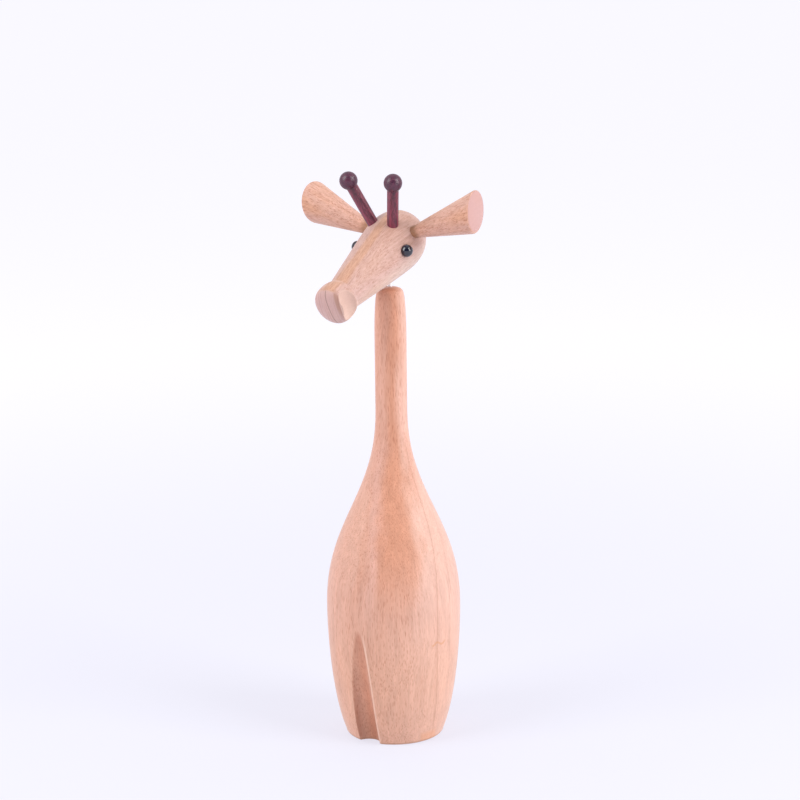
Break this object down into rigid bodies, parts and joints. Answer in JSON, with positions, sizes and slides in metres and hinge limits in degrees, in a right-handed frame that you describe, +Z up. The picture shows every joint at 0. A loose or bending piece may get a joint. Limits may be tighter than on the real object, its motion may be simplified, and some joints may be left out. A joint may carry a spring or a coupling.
{
  "type": "carved giraffe statue",
  "caption": "Turned wooden giraffe figurine with a bottle-shaped body, long neck, swivelling tapered head, cone ears and ball-tipped horns.",
  "frame": {"origin": "centre of the foot, on the surface that the figurine stands on", "axes": "+Z up along the body and neck axis, the muzzle points along -Y, the giraffe's left is +X"},
  "size_m": [0.0974, 0.0867, 0.2849],
  "materials": {
    "beech_body": "fine sanded beech, thin matt oil",
    "beech_head": "fine sanded pale beech, thin matt oil",
    "beech_ear": "fine sanded beech, thin matt oil",
    "dark_wood": "dark red hardwood, satin oil",
    "black_bead": "polished glossy black",
    "steel_pin": "bright drawn steel"
  },
  "bodies": {
    "body": {"body": "beech_body", "neck_pin": "steel_pin"},
    "head": {"head": "beech_head", "ear_left": "beech_ear", "ear_right": "beech_ear", "horn_left": "dark_wood", "horn_right": "dark_wood", "eye_left": "black_bead", "eye_right": "black_bead"}
  },
  "joints": [
    {"name": "head_turn", "type": "hinge", "parent": "body", "child": "head", "pos_m": [0, 0, 0.2439], "axis": [0, 0, 1], "continuous": true}
  ]
}
